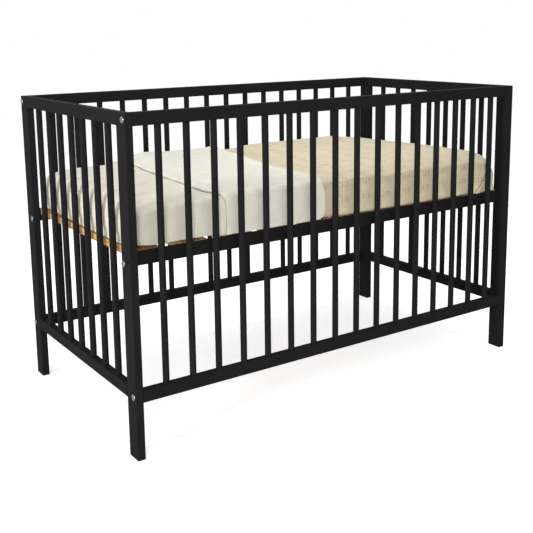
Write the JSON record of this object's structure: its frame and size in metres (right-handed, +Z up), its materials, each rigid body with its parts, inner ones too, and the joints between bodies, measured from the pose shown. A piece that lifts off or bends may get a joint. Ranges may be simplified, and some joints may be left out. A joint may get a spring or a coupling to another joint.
{
  "type": "baby crib",
  "caption": "Slatted baby crib with round bars, bolted side panels, a slatted base that bolts in at several heights, and a made-up mattress.",
  "frame": {"origin": "on the floor, under the middle of the crib", "axes": "+X along the length, with the coverlet at the -X end; -Y is the front, with the spare holes for a day bed rail; +Z up"},
  "size_m": [1.2444, 0.66, 0.8],
  "materials": {
    "black_painted_wood": "satin",
    "bare_wood": "matte",
    "zinc_plated_steel": "satin",
    "mattress_cover": "matte",
    "beige_cotton": "matte",
    "cream_cotton": "matte"
  },
  "bodies": {
    "frame": {"post_front_left": "black_painted_wood", "post_front_right": "black_painted_wood", "post_back_left": "black_painted_wood", "post_back_right": "black_painted_wood", "left_end_top_rail": "black_painted_wood", "left_end_bottom_rail": "black_painted_wood", "left_end_bars": "black_painted_wood", "right_end_top_rail": "black_painted_wood", "right_end_bottom_rail": "black_painted_wood", "right_end_bars": "black_painted_wood", "front_top_rail": "black_painted_wood", "front_bottom_rail": "black_painted_wood", "front_bars": "black_painted_wood", "back_top_rail": "black_painted_wood", "back_bottom_rail": "black_painted_wood", "back_bars": "black_painted_wood", "end_panel_pins": "bare_wood", "side_rail_pins": "bare_wood", "frame_bolts": "zinc_plated_steel", "frame_barrel_nuts": "zinc_plated_steel", "base_bolts": "zinc_plated_steel"},
    "base": {"base_front_rail": "black_painted_wood", "base_back_rail": "black_painted_wood", "base_barrel_nuts": "zinc_plated_steel", "slat_screws": "zinc_plated_steel", "base_slat_1": "bare_wood", "base_slat_2": "bare_wood", "base_slat_3": "bare_wood", "base_slat_4": "bare_wood", "base_slat_5": "bare_wood", "base_slat_6": "bare_wood", "base_slat_7": "bare_wood", "base_slat_8": "bare_wood", "base_slat_9": "bare_wood", "base_slat_10": "bare_wood"},
    "bedding": {"mattress": "mattress_cover", "fitted_sheet": "beige_cotton", "coverlet": "cream_cotton"}
  },
  "joints": [
    {"name": "base_height", "type": "slide", "parent": "frame", "child": "base", "axis": [0, 0, 1], "range_m": [-0.32, 0]},
    {"name": "mattress_lift", "type": "slide", "parent": "base", "child": "bedding", "axis": [0, 0, 1], "range_m": [0, 0.35]}
  ]
}
